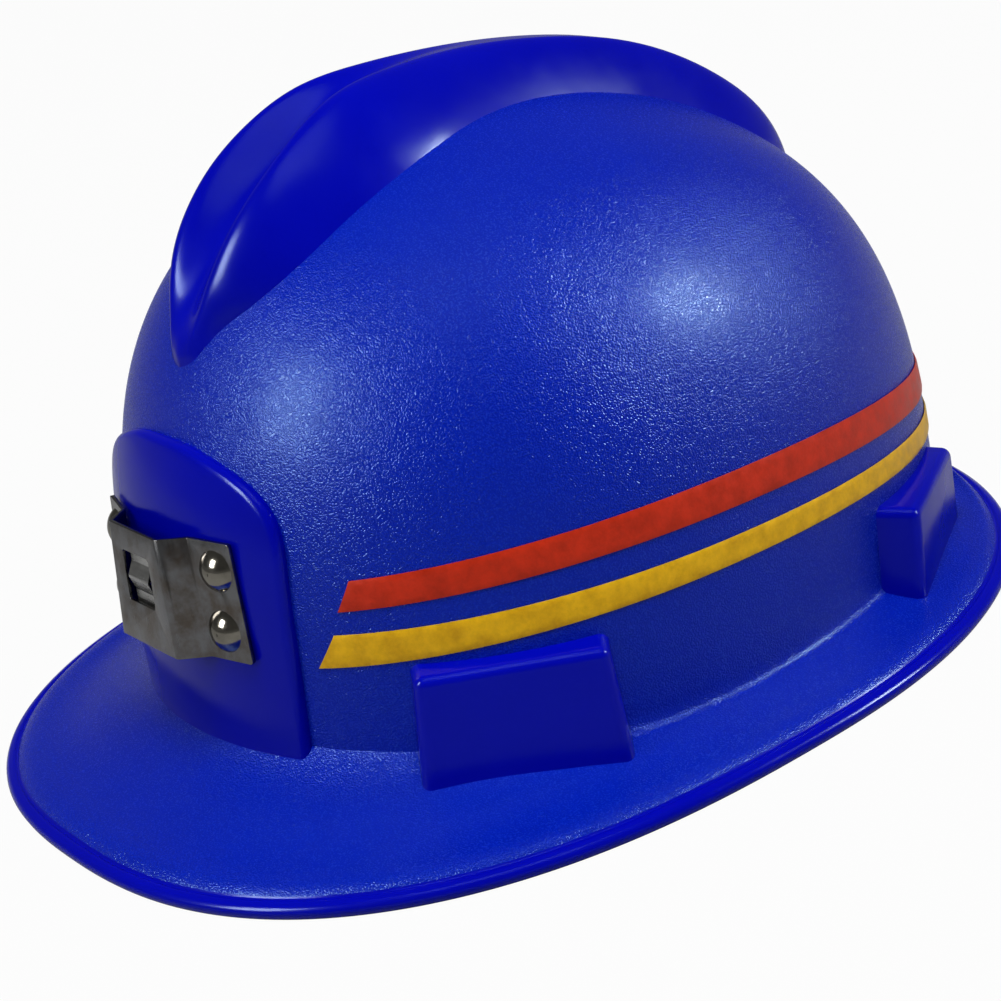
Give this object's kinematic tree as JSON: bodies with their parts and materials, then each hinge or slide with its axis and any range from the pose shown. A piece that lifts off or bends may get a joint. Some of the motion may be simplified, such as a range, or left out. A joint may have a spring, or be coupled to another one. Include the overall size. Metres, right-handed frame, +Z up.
{
  "type": "miner helmet",
  "caption": "Blue hard shell with brim, forked crest and lamp bracket, over a strap suspension whose headband is tightened by a knob at the nape.",
  "frame": {"origin": "middle of the brim, seen from above, on the surface that the helmet rests on", "axes": "-Y to the front of the helmet, +X to its wearer's left, +Z up"},
  "size_m": [0.261, 0.3018, 0.175],
  "materials": {
    "shell": "moulded blue plastic, fine pebble grain with smooth crest, pad and blocks",
    "bracket_steel": "bare stainless sheet",
    "spring_steel": "spring strip",
    "rivet_steel": "polished",
    "red_tape": "satin reflective tape",
    "yellow_tape": "satin reflective tape",
    "key": "natural moulded plastic",
    "webbing": "woven",
    "foam": "soft foam",
    "band": "natural moulded plastic",
    "stud": "natural moulded plastic",
    "sweat_band": "soft",
    "ratchet": "natural moulded plastic",
    "knob": "black moulded plastic",
    "pinion": "natural moulded plastic"
  },
  "bodies": {
    "helmet": {"shell": "shell", "lamp_bracket": "bracket_steel", "bracket_rivets": "rivet_steel", "rivet_washers": "rivet_steel", "cable_clip": "bracket_steel", "cable_clip_rivet": "rivet_steel", "red_tape_left": "red_tape", "red_tape_right": "red_tape", "yellow_tape_left": "yellow_tape", "yellow_tape_right": "yellow_tape", "key_front_left": "key", "key_front_right": "key", "key_rear_left": "key", "key_rear_right": "key", "crown_strap_lower": "webbing", "crown_strap_upper": "webbing", "crown_pad": "foam", "front_band": "band", "band_studs": "stud", "brow_pad": "sweat_band", "nape_pad": "sweat_band", "ratchet_housing": "ratchet", "ratchet_cover": "ratchet", "ratchet_screw": "rivet_steel"},
    "bracket_spring_leaf": {"bracket_spring": "spring_steel"},
    "left_tail": {"band_tail_left": "band"},
    "right_tail": {"band_tail_right": "band"},
    "knob": {"ratchet_knob": "knob", "pinion": "pinion"},
    "pawl": {"pawl_spring": "spring_steel"}
  },
  "joints": [
    {"name": "knob_turn", "type": "hinge", "parent": "helmet", "child": "knob", "pos_m": [0, 0.11474, 0.02069], "axis": [0, 0.9973, -0.0729], "range_deg": [-200, 200]},
    {"name": "left_tail_slide", "type": "hinge", "parent": "helmet", "child": "left_tail", "pos_m": [0, 0.02697, 0.0271], "axis": [0, 0.0729, 0.9973], "range_deg": [-13, 13]},
    {"name": "right_tail_slide", "type": "hinge", "parent": "helmet", "child": "right_tail", "pos_m": [0, 0.02697, 0.0271], "axis": [0, 0.0729, 0.9973], "range_deg": [-13, 13]},
    {"name": "bracket_spring_press", "type": "hinge", "parent": "helmet", "child": "bracket_spring_leaf", "pos_m": [0, -0.10834, 0.05196], "axis": [-1, 0, 0], "range_deg": [0, 7], "stiffness_Nm_per_rad": 0.6},
    {"name": "pawl_lift", "type": "hinge", "parent": "helmet", "child": "pawl", "pos_m": [0.0116, 0.11578, 0.03485], "axis": [0, 0.9973, -0.0729], "range_deg": [0, 4], "stiffness_Nm_per_rad": 0.05}
  ],
  "couplings": [
    {"joint": "left_tail_slide", "follows": "knob_turn", "ratio": -0.063291},
    {"joint": "right_tail_slide", "follows": "knob_turn", "ratio": 0.061576}
  ]
}
